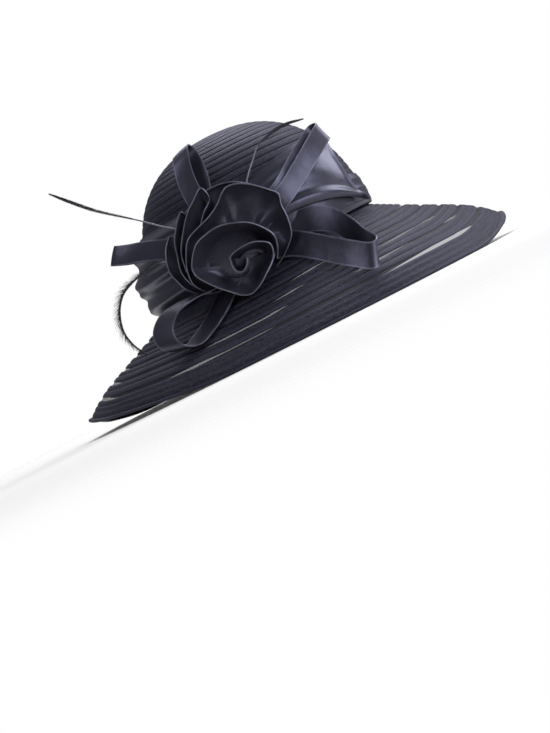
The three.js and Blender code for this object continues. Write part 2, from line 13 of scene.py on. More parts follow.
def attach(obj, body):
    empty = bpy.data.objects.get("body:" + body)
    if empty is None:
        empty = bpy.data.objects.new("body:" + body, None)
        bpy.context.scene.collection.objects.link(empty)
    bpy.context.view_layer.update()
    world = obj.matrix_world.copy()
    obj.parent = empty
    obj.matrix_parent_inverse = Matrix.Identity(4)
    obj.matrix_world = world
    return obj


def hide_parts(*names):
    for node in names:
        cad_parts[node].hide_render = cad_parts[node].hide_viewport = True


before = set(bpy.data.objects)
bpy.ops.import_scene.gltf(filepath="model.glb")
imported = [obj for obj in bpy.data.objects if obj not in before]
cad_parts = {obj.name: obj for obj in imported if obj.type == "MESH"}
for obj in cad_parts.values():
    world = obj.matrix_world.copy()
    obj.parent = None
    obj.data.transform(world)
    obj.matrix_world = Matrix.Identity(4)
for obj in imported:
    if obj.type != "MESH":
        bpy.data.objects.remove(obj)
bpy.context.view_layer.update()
bpy.ops.object.select_all(action="DESELECT")

# Camera
# The hat is seen from its right front, where the rose faces, from just above the table.
# The camera is rolled, so that the brim climbs to the right as it does in the photograph.
MM = 0.001
PHOTO_WIDTH, PHOTO_HEIGHT = 550, 733
MM_IN_A_PIXEL = 0.9
VIEW_AZIMUTH = math.radians(-50)
VIEW_ELEVATION = math.radians(0.3)
VIEW_ROLL = math.radians(26.6)
VIEW_DISTANCE = 1.7
SENSOR_SIDE = 36
HAT_MIDDLE = Vector((0, 0, 0.017))
HAT_MIDDLE_PIXEL = (295.5, 317.5)

camera_data = bpy.data.cameras.new("camera")
camera_data.sensor_width = SENSOR_SIDE
camera_data.lens = SENSOR_SIDE * VIEW_DISTANCE / (MM_IN_A_PIXEL * MM * PHOTO_HEIGHT)
camera_data.shift_x = (PHOTO_WIDTH / 2 - HAT_MIDDLE_PIXEL[0]) / PHOTO_HEIGHT
camera_data.shift_y = (HAT_MIDDLE_PIXEL[1] - PHOTO_HEIGHT / 2) / PHOTO_HEIGHT
camera_data.clip_start = 0.05
camera_data.clip_end = 30
camera = bpy.data.objects.new("camera", camera_data)
bpy.context.scene.collection.objects.link(camera)
bpy.context.scene.camera = camera
back = Vector((
    math.sin(VIEW_AZIMUTH) * math.cos(VIEW_ELEVATION),
    -math.cos(VIEW_AZIMUTH) * math.cos(VIEW_ELEVATION),
    math.sin(VIEW_ELEVATION),
))
level_right = Vector((0, 0, 1)).cross(back).normalized()
level_up = back.cross(level_right)
right = level_right * math.cos(VIEW_ROLL) - level_up * math.sin(VIEW_ROLL)
up = level_up * math.cos(VIEW_ROLL) + level_right * math.sin(VIEW_ROLL)
camera.rotation_mode = "QUATERNION"
camera.rotation_quaternion = Matrix((right, up, back)).transposed().to_quaternion()
camera.location = HAT_MIDDLE + back * VIEW_DISTANCE


# Studio
# A pale table under large soft lights. The table fades into the white surround, so no edge of it shows.
# Most of the light falls from above and behind, which keeps the side that faces the camera dark.
def linear(colour):
    """The linear RGBA of an sRGB hex colour."""
    parts = [int(colour[k:k + 2], 16) / 255 for k in (1, 3, 5)]
    return (*[p / 12.92 if p <= 0.04045 else ((p + 0.055) / 1.055) ** 2.4 for p in parts], 1)


def add_node(tree, kind, inputs=(), **settings):
    """Adds a node with its settings. An input is a value to set or another node's output to link."""
    made = tree.nodes.new(kind)
    for name, value in settings.items():
        setattr(made, name, value)
    for name, value in dict(inputs).items():
        if isinstance(value, bpy.types.NodeSocket):
            tree.links.new(value, made.inputs[name])
        else:
            made.inputs[name].default_value = value
    return made


def new_material(name):
    """A material with no nodes yet."""
    material = bpy.data.materials.new(name)
    material.use_nodes = True
    material.node_tree.nodes.clear()
    return material


def add_softbox(name, azimuth, elevation, distance, width, height, power, colour):
    """A rectangular studio light that faces the hat."""
    lamp = bpy.data.lights.new(name, "AREA")
    lamp.shape = "RECTANGLE"
    lamp.size = width
    lamp.size_y = height
    lamp.energy = power
    lamp.color = linear(colour)[:3]
    box = bpy.data.objects.new(name, lamp)
    a, e = math.radians(azimuth), math.radians(elevation)
    away = Vector((math.sin(a) * math.cos(e), -math.cos(a) * math.cos(e), math.sin(e)))
    box.location = LIT_POINT + away * distance
    box.rotation_mode = "QUATERNION"
    box.rotation_quaternion = away.to_track_quat("Z", "Y")
    bpy.context.scene.collection.objects.link(box)


SURROUND, FILL, LAMP = "#ffffff", "#e6e6f2", "#f2f2ff"
FILL_STRENGTH = 0.24
LIT_POINT = Vector((0, 0, 0.1))
# Azimuth and elevation in degrees, distance, width and height in metres, and power in watts
add_softbox("softbox_overhead", 110, 60, 1.6, 1.3, 1.1, 27, LAMP)
add_softbox("softbox_right", 62, 27, 1.8, 1.0, 1.0, 17, LAMP)
add_softbox("softbox_front", -4, 15, 1.8, 1.0, 1.0, 15, LAMP)
add_softbox("softbox_left", -96, 47, 1.8, 1.0, 0.8, 6.5, LAMP)

world = bpy.data.worlds.new("studio")
bpy.context.scene.world = world
world.use_nodes = True
tree = world.node_tree
tree.nodes.clear()
seen = add_node(tree, "ShaderNodeBackground", {"Color": linear(SURROUND), "Strength": 1.0})
fill = add_node(tree, "ShaderNodeBackground", {"Color": linear(FILL), "Strength": FILL_STRENGTH})
path = add_node(tree, "ShaderNodeLightPath")
mixed = add_node(tree, "ShaderNodeMixShader", {
    0: path.outputs["Is Camera Ray"], 1: fill.outputs[0], 2: seen.outputs[0]})
add_node(tree, "ShaderNodeOutputWorld", {"Surface": mixed.outputs[0]})
bpy.context.scene.view_settings.view_transform = "Standard"

TABLE_RADIUS = 1.3
TABLE_FADES_FROM, TABLE_GONE_AT = 0.34, 1.235
TABLE_DROP = 0.0003
bpy.ops.mesh.primitive_circle_add(
    vertices=96, radius=TABLE_RADIUS, fill_type="NGON", location=(0, 0, -TABLE_DROP))
table = bpy.context.object
table.name = "table"
painted_board = new_material("painted_board")
tree = painted_board.node_tree
place = add_node(tree, "ShaderNodeTexCoord").outputs["Object"]
reach = add_node(tree, "ShaderNodeVectorMath", {0: place}, operation="LENGTH").outputs["Value"]
fade = add_node(tree, "ShaderNodeMapRange", {
    "Value": reach, "From Min": TABLE_FADES_FROM, "From Max": TABLE_GONE_AT},
    interpolation_type="SMOOTHERSTEP").outputs[0]
paint = add_node(tree, "ShaderNodeBsdfPrincipled", {
    "Base Color": linear("#f2f2e6"), "Roughness": 0.8, "Specular IOR Level": 0.1})
clear = add_node(tree, "ShaderNodeBsdfTransparent")
mixed = add_node(tree, "ShaderNodeMixShader", {0: fade, 1: paint.outputs[0], 2: clear.outputs[0]})
add_node(tree, "ShaderNodeOutputMaterial", {"Surface": mixed.outputs[0]})
table.data.materials.append(painted_board)


# Crown
# Rows of woven braid sewn edge over edge round a block, from the seam up to the tip, each row a
# slightly bulged rib with a dark groove under it. The braid is stiff, so that the dome holds its form.
CROWN_HALF_WIDTH, CROWN_HALF_LENGTH, CROWN_TOP = 96, 112, 197
# The dome's curve, and how much closer its rows lie towards the tip
CROWN_SHOULDER, CROWN_DOME, BAND_CROWDING = 2.3, 2.4, 1.05
# How late on the way up a distance off the form turns upwards, and how late it closes in at the tip
TIP_TURN, TIP_CLOSING = 6, 12
SEAM_HEIGHT, SEAM_TILT, SEAM_HIGHEST_AT = 74, 5, 40
BRAID_WALL = 1.1
CROWN_ROWS, CROWN_COLUMNS = 24, 192
# Points this close, in metres, are one, and cloth is shaded smooth up to this angle
WELD, CLOTH_CREASE = 1e-6, math.radians(60)
# Places across a row of braid, from 0 to 1, and how far each stands out from the form
BRAID_ROW = (
    (0, -0.7), (0.04, -0.25), (0.12, 0), (0.34, 0.12), (0.6, 0.08), (0.8, -0.05), (0.94, -0.35))


def seam_at(bearing):
    return SEAM_HEIGHT + SEAM_TILT * math.cos(math.radians(bearing - SEAM_HIGHEST_AT))


def polar(bearing, half_width, half_length, height):
    a = math.radians(bearing)
    return math.sin(a) * half_width, -math.cos(a) * half_length, height


def crown_bulge(rise):
    """How wide the dome is at a rise from the seam (0) to the top (1), as a share of its foot."""
    return max(0, 1 - rise ** CROWN_SHOULDER) ** (1 / CROWN_DOME)


def crown_point(bearing, rise, out):
    """A point on the crown's form, from the seam (0) to the top (1), moved out by a distance.
    That distance is sideways low down and turns upwards near the top, where the form closes."""
    bulge = crown_bulge(rise)
    lifted = out * rise ** TIP_TURN
    sideways = (out - lifted) * min(1, bulge * TIP_CLOSING)
    seam = seam_at(bearing)
    return polar(bearing, CROWN_HALF_WIDTH * bulge + sideways, CROWN_HALF_LENGTH * bulge + sideways,
                 seam + (CROWN_TOP - seam) * rise + lifted)


def place_mesh(name, mesh, operator, **settings):
    """Puts a mesh in the scene as a new piece, and runs one edit-mode operator on all of it."""
    piece = bpy.data.objects.new(name, mesh)
    bpy.context.scene.collection.objects.link(piece)
    bpy.ops.object.select_all(action="DESELECT")
    piece.select_set(True)
    bpy.context.view_layer.objects.active = piece
    bpy.ops.object.mode_set(mode="EDIT")
    bpy.ops.mesh.select_all(action="SELECT")
    operator(**settings)
    bpy.ops.object.mode_set(mode="OBJECT")
    return piece


def cloth(name, grid, wall, material, edge=None, lengths=None, wrap=False, side=-1):
    """A sheet through rows of points in millimetres, grid[along][across], with its wall under them, or
    half on each side where side is 0. Its UV map "cloth" is in metres, along and across, and its
    attribute "edge" is how near a point is to a hem or to the lip of a braid row, where the materials
    paint a lighter highlight colour."""
    points = np.asarray(grid, float) * MM
    count, depth = points.shape[:2]
    spans = count if wrap else count - 1
    steps = np.linalg.norm(np.diff(points, axis=1), axis=2).mean(0)
    across = np.concatenate([[0], np.cumsum(steps)])
    turned = np.vstack([points, points[:1]]) if wrap else points
    whole = np.linalg.norm(np.diff(turned, axis=0), axis=2).sum(0).mean()
    along = np.full(depth - 1, whole) if lengths is None else np.asarray(lengths) * MM
    faces, corners = [], []
    for i in range(spans):
        k = (i + 1) % count
        for j in range(depth - 1):
            faces.append((i * depth + j, k * depth + j, k * depth + j + 1, i * depth + j + 1))
            near, far = i / spans * along[j], (i + 1) / spans * along[j]
            corners += [near, across[j], far, across[j], far, across[j + 1], near, across[j + 1]]
    mesh = bpy.data.meshes.new(name)
    mesh.from_pydata(points.reshape(-1, 3).tolist(), [], faces)
    mesh.uv_layers.new(name="cloth").data.foreach_set("uv", corners)
    marks = np.zeros((count, depth)) + (0 if edge is None else np.asarray(edge))
    mesh.attributes.new("edge", "FLOAT", "POINT").data.foreach_set("value", marks.ravel())
    mesh.materials.append(material)
    piece = place_mesh(name, mesh, bpy.ops.mesh.remove_doubles, threshold=WELD)
    solid = piece.modifiers.new("wall", "SOLIDIFY")
    solid.thickness = wall * MM
    solid.offset = side
    bpy.ops.object.modifier_apply(modifier="wall")
    bpy.ops.object.shade_smooth_by_angle(angle=CLOTH_CREASE)
    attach(piece, "root")
    return piece


# Woven polyester braid: fine threads run along each row and others cross them, drawn 1.3 to 1.6 mm
# apart where the real ones are 0.5 mm, so that they show. The yarn is dark with a soft violet-grey
# gloss. Streaks follow the threads, and short flecks are where one thread lies over another.
THREAD_ALONG, THREAD_ACROSS = 0.0016, 0.0013
# The scale of a wave texture that has one band to the metre
WAVE_TURN = math.tau / 20
# The colour sockets of a Mix node, which shares their names with its other kinds
MIX_FACTOR, MIX_A, MIX_B, MIX_RESULT = 0, 6, 7, 2


def woven_braid(name, dark, light, painted_rib_highlight):
    material = new_material(name)
    tree = material.node_tree
    uv = add_node(tree, "ShaderNodeUVMap", uv_map="cloth").outputs["UV"]
    along = add_node(tree, "ShaderNodeTexWave", {
        "Vector": uv, "Scale": WAVE_TURN / THREAD_ALONG, "Distortion": 1.2, "Detail": 1.0,
        "Detail Scale": 0.6}, bands_direction="Y").outputs["Fac"]
    over = add_node(tree, "ShaderNodeTexWave", {
        "Vector": uv, "Scale": WAVE_TURN / THREAD_ACROSS, "Distortion": 2.0, "Detail": 1.0},
        bands_direction="X").outputs["Fac"]
    stretched = add_node(tree, "ShaderNodeMapping", {"Vector": uv, "Scale": (14, 320, 1)}).outputs[0]
    streak = add_node(tree, "ShaderNodeTexNoise", {
        "Vector": stretched, "Scale": 1.0, "Detail": 3.0}).outputs["Fac"]
    threads = add_node(tree, "ShaderNodeMath", {0: along, 1: over}, operation="ADD").outputs[0]
    marked = add_node(tree, "ShaderNodeMath", {0: threads, 1: streak}, operation="MULTIPLY").outputs[0]
    short = add_node(tree, "ShaderNodeMapping", {"Vector": uv, "Scale": (260, 700, 1)}).outputs[0]
    fleck = add_node(tree, "ShaderNodeTexNoise", {
        "Vector": short, "Scale": 1.0, "Detail": 2.0}).outputs["Fac"]
    flecked = add_node(tree, "ShaderNodeMapRange", {
        "Value": fleck, "From Min": 0.35, "From Max": 0.7, "To Min": 0.25, "To Max": 1.7}).outputs[0]
    spread = add_node(tree, "ShaderNodeMath", {0: marked, 1: flecked}, operation="MULTIPLY").outputs[0]
    edge = add_node(tree, "ShaderNodeAttribute", attribute_name="edge").outputs["Fac"]
    tone = add_node(tree, "ShaderNodeMix", {
        MIX_FACTOR: spread, MIX_A: linear(dark), MIX_B: linear(light)}, data_type="RGBA")
    # Painted highlight: the points marked "edge", the lips of the braid rows and the edges of the brim
    # bands, are painted a lighter grey where they would catch the light.
    lit = add_node(tree, "ShaderNodeMix", {
        MIX_FACTOR: edge, MIX_A: tone.outputs[MIX_RESULT], MIX_B: linear(painted_rib_highlight)}, data_type="RGBA")
    bump = add_node(tree, "ShaderNodeBump", {
        "Height": marked, "Distance": 0.0004, "Strength": 0.6}).outputs[0]
    shader = add_node(tree, "ShaderNodeBsdfPrincipled", {
        "Base Color": lit.outputs[MIX_RESULT], "Roughness": 0.5, "Normal": bump,
        "Specular IOR Level": 0.2, "Specular Tint": linear("#dedefc")})
    add_node(tree, "ShaderNodeOutputMaterial", {"Surface": shader.outputs[0]})
    return material


# The last colour is the painted highlight on the row lips and band edges.
BRAID_YARN = woven_braid("woven_polyester_braid", "#0f0f14", "#3b3b47", "#31313c")


def crown_rise(share):
    return math.sin(share * math.pi / 2) ** BAND_CROWDING


# Two of these rows make one of the wider rows of the solid
crown_levels = [((row + at) / CROWN_ROWS, out) for row in range(CROWN_ROWS) for at, out in BRAID_ROW]
crown_levels.append((1, 0))
crown_grid = [[crown_point(bearing, crown_rise(share), out) for share, out in crown_levels]
              for bearing in np.arange(CROWN_COLUMNS) * 360 / CROWN_COLUMNS]
# Painted highlight: the lip of each row, its outermost point, is marked for the braid's lighter highlight
# colour.
crown_row_highlight = [1.0 if out == 0 else 0.0 for _, out in crown_levels]
CROWN_ROUND = math.pi * (CROWN_HALF_WIDTH + CROWN_HALF_LENGTH)
row_lengths = []
for row in range(CROWN_ROWS):
    rise = crown_rise((row + 0.5) / CROWN_ROWS)
    row_lengths += [CROWN_ROUND * crown_bulge(rise)] * len(BRAID_ROW)
crown = cloth("braid_crown", crown_grid, BRAID_WALL, BRAID_YARN, crown_row_highlight, row_lengths, wrap=True)
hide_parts("crown")


# Brim
# Bands of the same braid joined by narrow strips of sheer mesh that can be seen through, sewn to the
# crown at the seam. The rim is turned over a fine wire, and rests on the table at the front and back.
RIM_HALF_WIDTH, RIM_HALF_LENGTH = 202, 212
BRIM_WALL, CROWN_INSET, SEAM_GAP = 2.4, 2.9, 0.3
INNER_BAND, OUTER_BAND, HEM_WIDTH = 25, 16.5, 3.5
SHEER_STRIPS, SHEER_WIDTH, SHEER_RECESS = 5, 3.5, 1.1
BRIM_BULGE, RIM_ROLL = 0.17, 0.8
BRIM_COLUMNS = 300
# The lift of the rim off the table at each bearing, in millimetres
RIM_WAVE = (
    (0, 0), (20, 9), (40, 18), (70, 20), (100, 15), (125, 5), (140, 0),
    (180, 0), (200, 6), (220, 16), (250, 10), (280, 2), (290, 0),
)


def smooth_curve(rows, period=None):
    """A smooth curve through (place, value) rows that never overshoots one. A period closes it."""
    table = [rows[0], *rows, rows[-1]]
    if period:
        table = [(rows[-1][0] - period, rows[-1][1]), *rows,
                 (rows[0][0] + period, rows[0][1]), (rows[1][0] + period, rows[1][1])]

    def slope(a, b):
        return 0 if a[0] == b[0] else (b[1] - a[1]) / (b[0] - a[0])

    def tangent(k):
        before = slope(table[max(k - 1, 0)], table[k])
        after = slope(table[k], table[min(k + 1, len(table) - 1)])
        return 2 * before * after / (before + after) if before * after > 0 else 0

    def read(place):
        at = rows[0][0] + (place - rows[0][0]) % period if period else place
        k = 1
        while k < len(table) - 3 and table[k + 1][0] <= at:
            k += 1
        a, b = table[k], table[k + 1]
        span = b[0] - a[0]
        if span == 0:
            return a[1]
        t = min(max((at - a[0]) / span, 0), 1)
        bend = t * (1 - t) * ((1 - t) * tangent(k) - t * tangent(k + 1)) * span
        return a[1] + (b[1] - a[1]) * t * t * (3 - 2 * t) + bend

    return read


rim_lift = smooth_curve(RIM_WAVE, 360)
BRIM_WIDTH = (RIM_HALF_WIDTH + RIM_HALF_LENGTH - CROWN_HALF_WIDTH - CROWN_HALF_LENGTH) / 2
HEM_START = 1 - HEM_WIDTH / BRIM_WIDTH


def brim_point(bearing, share, lift):
    """A point over the brim's underside, from the crown (0) to the rim (1), lifted by a distance."""
    s = min(share / HEM_START, 1)
    fall = (1 - s) * (1 + BRIM_BULGE * s + RIM_ROLL * s ** 4)
    low = rim_lift(bearing)
    high = seam_at(bearing) - SEAM_GAP - BRIM_WALL
    inner_width, inner_length = CROWN_HALF_WIDTH - CROWN_INSET, CROWN_HALF_LENGTH - CROWN_INSET
    return polar(bearing, inner_width + (RIM_HALF_WIDTH - inner_width) * share,
                 inner_length + (RIM_HALF_LENGTH - inner_length) * share,
                 low + (high - low) * fall + lift)


def brim_courses():
    """Each band or strip from the crown outwards, with its edges in millimetres from the crown."""
    pitch = (BRIM_WIDTH - INNER_BAND - OUTER_BAND - SHEER_WIDTH) / (SHEER_STRIPS - 1)
    courses = [("band", 0, INNER_BAND)]
    for strip in range(SHEER_STRIPS):
        start = INNER_BAND + strip * pitch
        end = start + pitch if strip < SHEER_STRIPS - 1 else BRIM_WIDTH
        courses += [("sheer", start, start + SHEER_WIDTH), ("band", start + SHEER_WIDTH, end)]
    return courses


# The ribs along a band, and its rounded edges and the hem, as places in from the edge and below the top
BRIM_RIB, RIB_GROOVE, RIB_SHOULDER, RIB_BULGE = 4.6, 0.8, 0.9, 0.12
BAND_EDGE = ((0, 0.9), (0.3, 0.35))
# How far in from each edge of a band, in millimetres, the braid is painted with its lighter highlight
# colour
BAND_HIGHLIGHT_MARGIN = 1
HEM_TURN = ((HEM_WIDTH, 2.4), (0.5, 2.3), (0.1, 1.8), (0, 1.2), (0.1, 0.6), (0.5, 0.1))


def band_profile(start, end):
    """Places across a band from its rim side, with how far each lies below the braid's top."""
    ribs = max(2, round((end - start) / BRIM_RIB))
    outline = HEM_TURN if end == BRIM_WIDTH else BAND_EDGE
    places = [(end - inset, below) for inset, below in outline]
    for rib in range(ribs):
        outer, inner = [end + (start - end) * (rib + side) / ribs for side in (0, 1)]
        places += [(outer - RIB_SHOULDER, 0), ((outer + inner) / 2, -RIB_BULGE),
                   (inner + RIB_SHOULDER, 0)]
        if rib < ribs - 1:
            places.append((inner, RIB_GROOVE))
    return places + [(start + inset, below) for inset, below in BAND_EDGE[::-1]]


def brim_grid(profile):
    return [[brim_point(bearing, place / BRIM_WIDTH, BRIM_WALL - below) for place, below in profile]
            for bearing in np.arange(BRIM_COLUMNS) * 360 / BRIM_COLUMNS]


# Sheer polyester mesh: fine dark yarn with open holes, so that it lets light through. It is drawn as
# yarn 1.2 mm apart that covers a third of the light. Its edges are tucked under the bands beside it.
SHEER_COVER, SHEER_YARN = 0.35, 0.0012
SHEER_WALL, SHEER_SAG, STRIP_TUCK = 0.3, 0.15, 1.2
sheer_mesh = new_material("sheer_polyester_mesh")
tree = sheer_mesh.node_tree
uv = add_node(tree, "ShaderNodeUVMap", uv_map="cloth").outputs["UV"]
yarn = add_node(tree, "ShaderNodeTexWave", {
    "Vector": uv, "Scale": WAVE_TURN / SHEER_YARN, "Distortion": 0.6},
    bands_direction="X").outputs["Fac"]
tone = add_node(tree, "ShaderNodeMix", {
    MIX_FACTOR: yarn, MIX_A: linear("#15151b"), MIX_B: linear("#2c2b36")}, data_type="RGBA")
shader = add_node(tree, "ShaderNodeBsdfPrincipled", {
    "Base Color": tone.outputs[MIX_RESULT], "Roughness": 0.5, "Alpha": SHEER_COVER})
add_node(tree, "ShaderNodeOutputMaterial", {"Surface": shader.outputs[0]})

for number, (kind, start, end) in enumerate(brim_courses()):
    length = math.pi * (CROWN_HALF_WIDTH + CROWN_HALF_LENGTH + start + end)
    if kind == "sheer":
        profile = [(end + STRIP_TUCK, SHEER_RECESS), (end, SHEER_RECESS),
                   ((start + end) / 2, SHEER_RECESS + SHEER_SAG),
                   (start, SHEER_RECESS), (start - STRIP_TUCK, SHEER_RECESS)]
        grid = brim_grid(profile)
        piece = cloth(f"sheer_strip_{number // 2 + 1}", grid, SHEER_WALL, sheer_mesh,
                      lengths=[length] * (len(profile) - 1), wrap=True)
    else:
        profile = band_profile(start, end)
        # The edges of each band get the braid's painted highlight.
        edge = [1.0 if min(place - start, end - place) < BAND_HIGHLIGHT_MARGIN else 0.0 for place, _ in profile]
        grid = brim_grid(profile)
        piece = cloth(f"braid_band_{number // 2 + 1}", grid, BRAID_WALL, BRAID_YARN,
                      edge, [length] * (len(profile) - 1), wrap=True)
    # The flat strip's width follows the slope of the brim and the turn of its hem. It is stated as no
    # narrower than 10 mm, with its true area beside it.
    width = sum(np.linalg.norm(np.diff(ring, axis=0), axis=1).sum() for ring in grid) / len(grid)
    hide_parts("brim")


# Sash
# A wide bias-cut band of satin gathered round the foot of the crown in soft lengthwise folds, deep at
# the back and pulled flat where the rose and the fan cover its ends.
SASH_WALL = 1.3
SASH_COLUMNS, SASH_ROWS = 240, 44
# Its top's height over the seam at each bearing, and how deep its folds are there
SASH_RISE = (
    (0, 32), (40, 28), (90, 34), (140, 44), (180, 56), (220, 72), (270, 70), (300, 60), (316, 48))
SASH_DEPTH = (
    (0, 0.12), (40, 0.15), (90, 0.4), (140, 0.6), (180, 1), (220, 1.35), (270, 1.25), (300, 0.85),
    (316, 0.12))
# How far the cloth stands out at each place across it, from its foot (0) to its top (1)
SASH_FOLDS = (
    (0, 0.6), (0.16, 6.5), (0.3, 5.5), (0.42, 8.5), (0.55, 9.5), (0.68, 4), (0.84, 7), (1, 0.6))
# The folds wander up and down by shares of the width, and fine wrinkles run along them
SASH_WANDER = ((0.035, 2, 1), (0.02, 5, 0))
SASH_WRINKLE, WRINKLES_ACROSS, WRINKLE_SWAY, SWAYS_ROUND = 0.5, 7, 3, 3


def ribbon_satin(name, dark, light, hem):
    """Woven polyester satin: smooth long floats that give a soft broad gloss with faint streaks.
    The surface is softly creased, and its hem is painted lighter in patches: a painted highlight where
    the thin edge would catch the light."""
    material = new_material(name)
    tree = material.node_tree
    uv = add_node(tree, "ShaderNodeUVMap", uv_map="cloth").outputs["UV"]
    stretched = add_node(tree, "ShaderNodeMapping", {"Vector": uv, "Scale": (18, 700, 1)}).outputs[0]
    streak = add_node(tree, "ShaderNodeTexNoise", {
        "Vector": stretched, "Scale": 1.0, "Detail": 3.0}).outputs["Fac"]
    place = add_node(tree, "ShaderNodeTexCoord").outputs["Object"]
    crease = add_node(tree, "ShaderNodeTexNoise", {
        "Vector": place, "Scale": 70.0, "Detail": 2.0, "Distortion": 0.4}).outputs["Fac"]
    tone = add_node(tree, "ShaderNodeMix", {
        MIX_FACTOR: streak, MIX_A: linear(dark), MIX_B: linear(light)}, data_type="RGBA")
    edge = add_node(tree, "ShaderNodeAttribute", attribute_name="edge").outputs["Fac"]
    patchy = add_node(tree, "ShaderNodeMapRange", {
        "Value": crease, "From Min": 0.35, "From Max": 0.6, "To Min": 0.4, "To Max": 1.0}).outputs[0]
    # Painted highlight: the hem is painted a lighter grey, in patches along it.
    painted_hem_highlight = add_node(tree, "ShaderNodeMath", {0: edge, 1: patchy}, operation="MULTIPLY").outputs[0]
    lit = add_node(tree, "ShaderNodeMix", {
        MIX_FACTOR: painted_hem_highlight, MIX_A: tone.outputs[MIX_RESULT], MIX_B: linear(hem)}, data_type="RGBA")
    soft = add_node(tree, "ShaderNodeBump", {
        "Height": crease, "Distance": 0.0012, "Strength": 0.35}).outputs[0]
    bump = add_node(tree, "ShaderNodeBump", {
        "Height": streak, "Distance": 0.0001, "Strength": 0.3, "Normal": soft}).outputs[0]
    shader = add_node(tree, "ShaderNodeBsdfPrincipled", {
        "Base Color": lit.outputs[MIX_RESULT], "Roughness": 0.37, "Normal": bump,
        "Specular IOR Level": 0.95, "Specular Tint": linear("#dedefc")})
    add_node(tree, "ShaderNodeOutputMaterial", {"Surface": shader.outputs[0]})
    return material


# The last colour is the painted highlight on the hems.
SATIN = ribbon_satin("woven_polyester_satin", "#131318", "#1e1e26", "#5a5a66")
sash_rise, sash_depth = smooth_curve(SASH_RISE, 360), smooth_curve(SASH_DEPTH, 360)
sash_fold = smooth_curve(SASH_FOLDS)


def off_crown(bearing, height, out):
    """A point that stands off the crown at a height above the table."""
    seam = seam_at(bearing)
    return crown_point(bearing, (height - seam) / (CROWN_TOP - seam), out)


def sash_point(bearing, share):
    turn = math.radians(bearing)
    inside = math.sin(math.pi * share)
    wander = share + sum(by * inside * math.sin(waves * turn + lag) for by, waves, lag in SASH_WANDER)
    depth = sash_depth(bearing)
    wrinkle = SASH_WRINKLE * inside * depth * math.sin(
        math.tau * WRINKLES_ACROSS * wander + WRINKLE_SWAY * math.sin(SWAYS_ROUND * turn))
    height = seam_at(bearing) + SEAM_GAP + sash_rise(bearing) * share
    return off_crown(bearing, height, SEAM_GAP + sash_fold(wander) * depth + wrinkle + SASH_WALL)


sash_grid = [[sash_point(bearing, row / SASH_ROWS) for row in range(SASH_ROWS + 1)]
             for bearing in np.arange(SASH_COLUMNS) * 360 / SASH_COLUMNS]
sash = cloth("satin_sash", sash_grid, SASH_WALL, SATIN, wrap=True)
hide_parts("sash")


# Fan
# A length of the satin spread from behind the rose to the wearer's left, pleated where it leaves the
# rose and open at its far edge, which is rolled and caught down on the crown.
DRAPE_WALL = 1.2
DRAPE_FROM = -46
DRAPE_SPANS, DRAPE_ROWS = 72, 60
DRAPE_PLEATS, PLEAT_DEPTH, PLEAT_FADE = 4, 0.7, 1.5
# The width of the rolled edge, as a share of the fan's length, and how far it stands up
ROLLED_EDGE, HEM_LIFT = 0.025, 1.8
# Each fold, from the lowest up: its place, its height behind the rose, halfway and at the far edge, the
# bearing of that edge, and how far it stands off the crown
DRAPE_FOLDS = (
    (0, 98, 96, 80, 13, 4.5), (0.15, 103, 103, 86, 9, 6.5), (0.3, 108, 111, 93, 7, 3.5),
    (0.5, 116, 122, 106, 6, 4), (0.75, 127, 136, 127, 8.5, 3), (1, 138, 151, 148, 22, 1.5))
drape_rose, drape_middle, drape_edge, drape_to, drape_out = (
    smooth_curve([(row[0], row[key]) for row in DRAPE_FOLDS]) for key in range(1, 6))


def rolled(along):
    """How near a place along the fan is to its rolled far edge, up to 1."""
    return math.exp(-((1 - along) / ROLLED_EDGE) ** 2)


def drape_point(along, share):
    height = (drape_rose(share) * (1 - along) * (1 - 2 * along)
              + drape_middle(share) * 4 * along * (1 - along)
              + drape_edge(share) * along * (2 * along - 1))
    pleat = math.sin(math.pi * share) * math.sin(math.tau * DRAPE_PLEATS * share)
    depth = PLEAT_DEPTH * (1 - along) ** PLEAT_FADE
    out = drape_out(share) + depth * pleat + HEM_LIFT * rolled(along) + DRAPE_WALL
    bearing = DRAPE_FROM + (drape_to(share) - DRAPE_FROM) * along
    return off_crown(bearing, height, out)


drape_grid = [[drape_point(i / DRAPE_SPANS, j / DRAPE_ROWS) for j in range(DRAPE_ROWS + 1)]
              for i in range(DRAPE_SPANS + 1)]
# The rolled far edge is marked for the satin's painted hem highlight.
drape_hem_highlight = [[rolled(i / DRAPE_SPANS)] * (DRAPE_ROWS + 1) for i in range(DRAPE_SPANS + 1)]
drape = cloth("satin_fan", drape_grid, DRAPE_WALL, SATIN, drape_hem_highlight)
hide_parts("drape")


# Ribbon loops
# Lengths of double satin ribbon folded into loops, with both ends sewn in behind the rose. Four stand
# up or out of it, and a wider one droops on to the brim below it.
TRIM_TURN = math.radians(-50)
RIBBON_WALL, RIBBON_BOW = 1.1, 0.5
LOOP_SPANS = 64
# Places across the ribbon, from 0 to 1, and how near each is to its stitched edge, which gets the satin's
# painted hem highlight
RIBBON_ACROSS = (
    (0, 1), (0.04, 1), (0.07, 0), (0.2, 0), (0.35, 0), (0.5, 0), (0.65, 0), (0.8, 0), (0.93, 0),
    (0.96, 1), (1, 1))
RIBBON_MIDDLE = len(RIBBON_ACROSS) // 2
CURVE_STEP = 0.01
